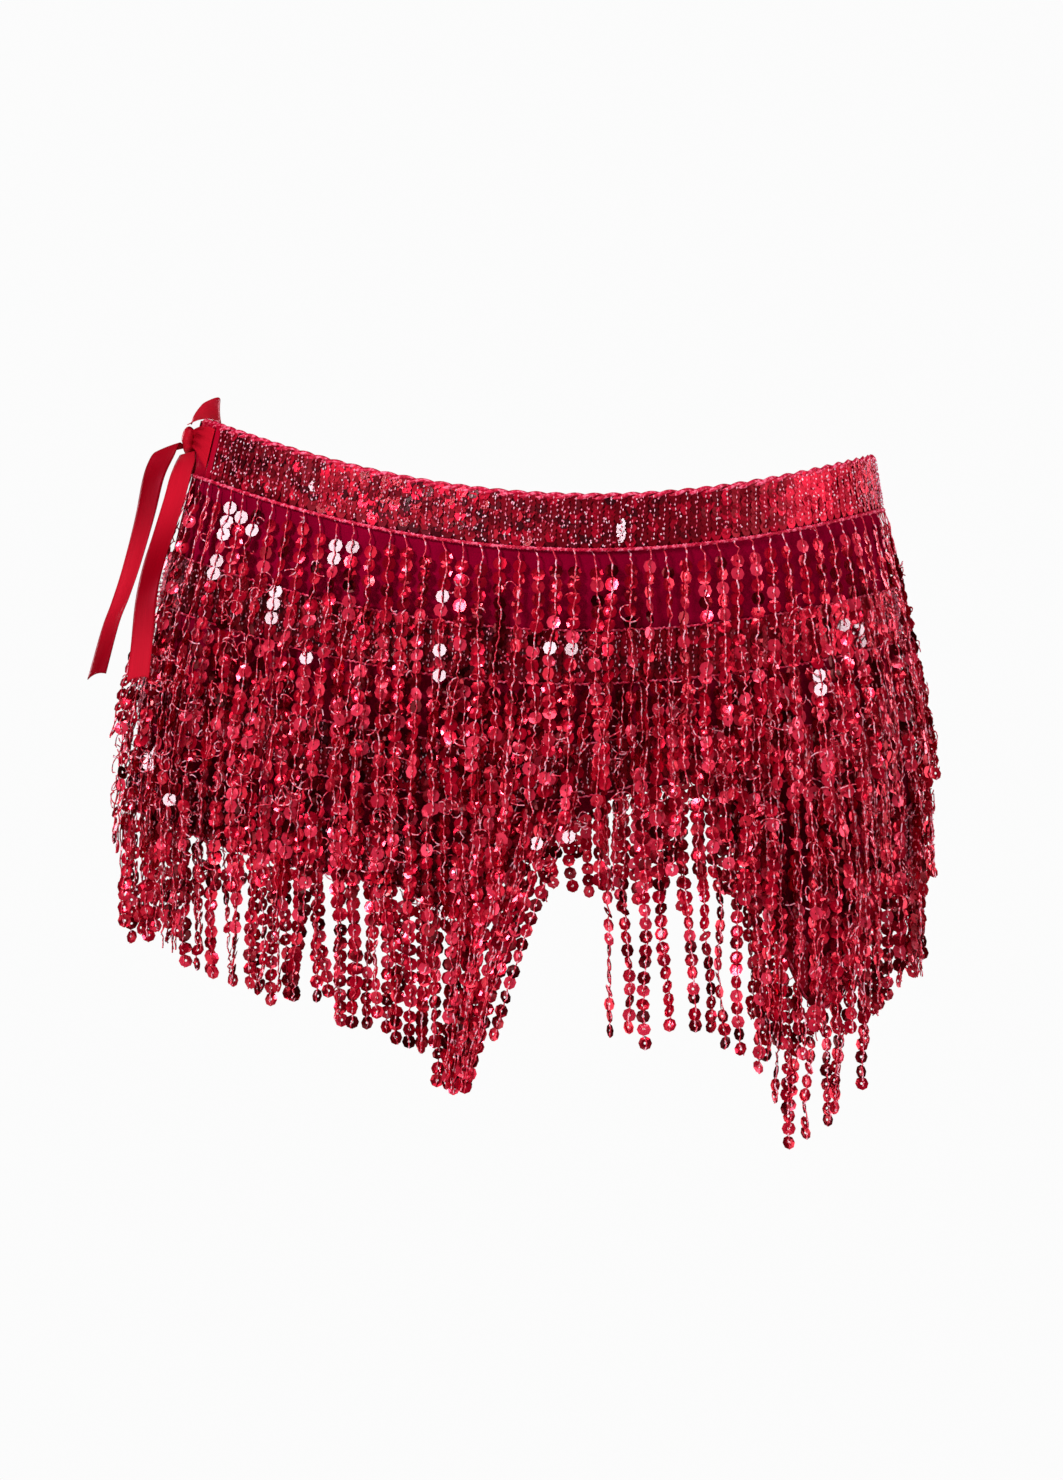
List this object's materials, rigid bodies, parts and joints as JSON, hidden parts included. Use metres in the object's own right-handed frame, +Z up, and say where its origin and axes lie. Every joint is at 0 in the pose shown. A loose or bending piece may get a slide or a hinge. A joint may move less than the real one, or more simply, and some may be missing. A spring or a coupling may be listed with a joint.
{
  "type": "belly dance hip belt",
  "caption": "Worn wrap of stretch cloth round the hips with sequin bands, tiers of sequin fringe, a notched front hem and a ribbon tie at the side.",
  "frame": {"origin": "middle of the ring that the waistband makes round the hips, at the mean height of its middle line", "axes": "+Z up, the front faces -Y, the tied side with the ribbons is at -X"},
  "size_m": [0.3893, 0.2725, 0.3395],
  "materials": {
    "stretch_cloth": "matt wine-red stretch knit",
    "sequin_band": "rows of small glossy red sequins on stretch tape, overlocked edges",
    "sequin_fringe": "glossy cupped red sequins threaded on thin red thread",
    "satin_ribbon": "red satin ribbon with a soft sheen",
    "stitch_thread": "rose-red overlock and chain-stitch thread"
  },
  "bodies": {
    "root": {"skirt_cloth": "stretch_cloth", "waistband": "sequin_band", "second_band": "sequin_band", "third_band": "sequin_band", "hem_band_left": "sequin_band", "hem_band_right": "sequin_band", "fringe_first_tier": "sequin_fringe", "fringe_second_tier": "sequin_fringe", "fringe_third_tier": "sequin_fringe", "fringe_hem_left": "sequin_fringe", "fringe_hem_right": "sequin_fringe", "ribbon_back_loop": "satin_ribbon", "ribbon_front_stretch": "satin_ribbon", "ribbon_knot": "satin_ribbon", "ribbon_tail_outer": "satin_ribbon", "ribbon_tail_inner": "satin_ribbon"}
  },
  "joints": []
}
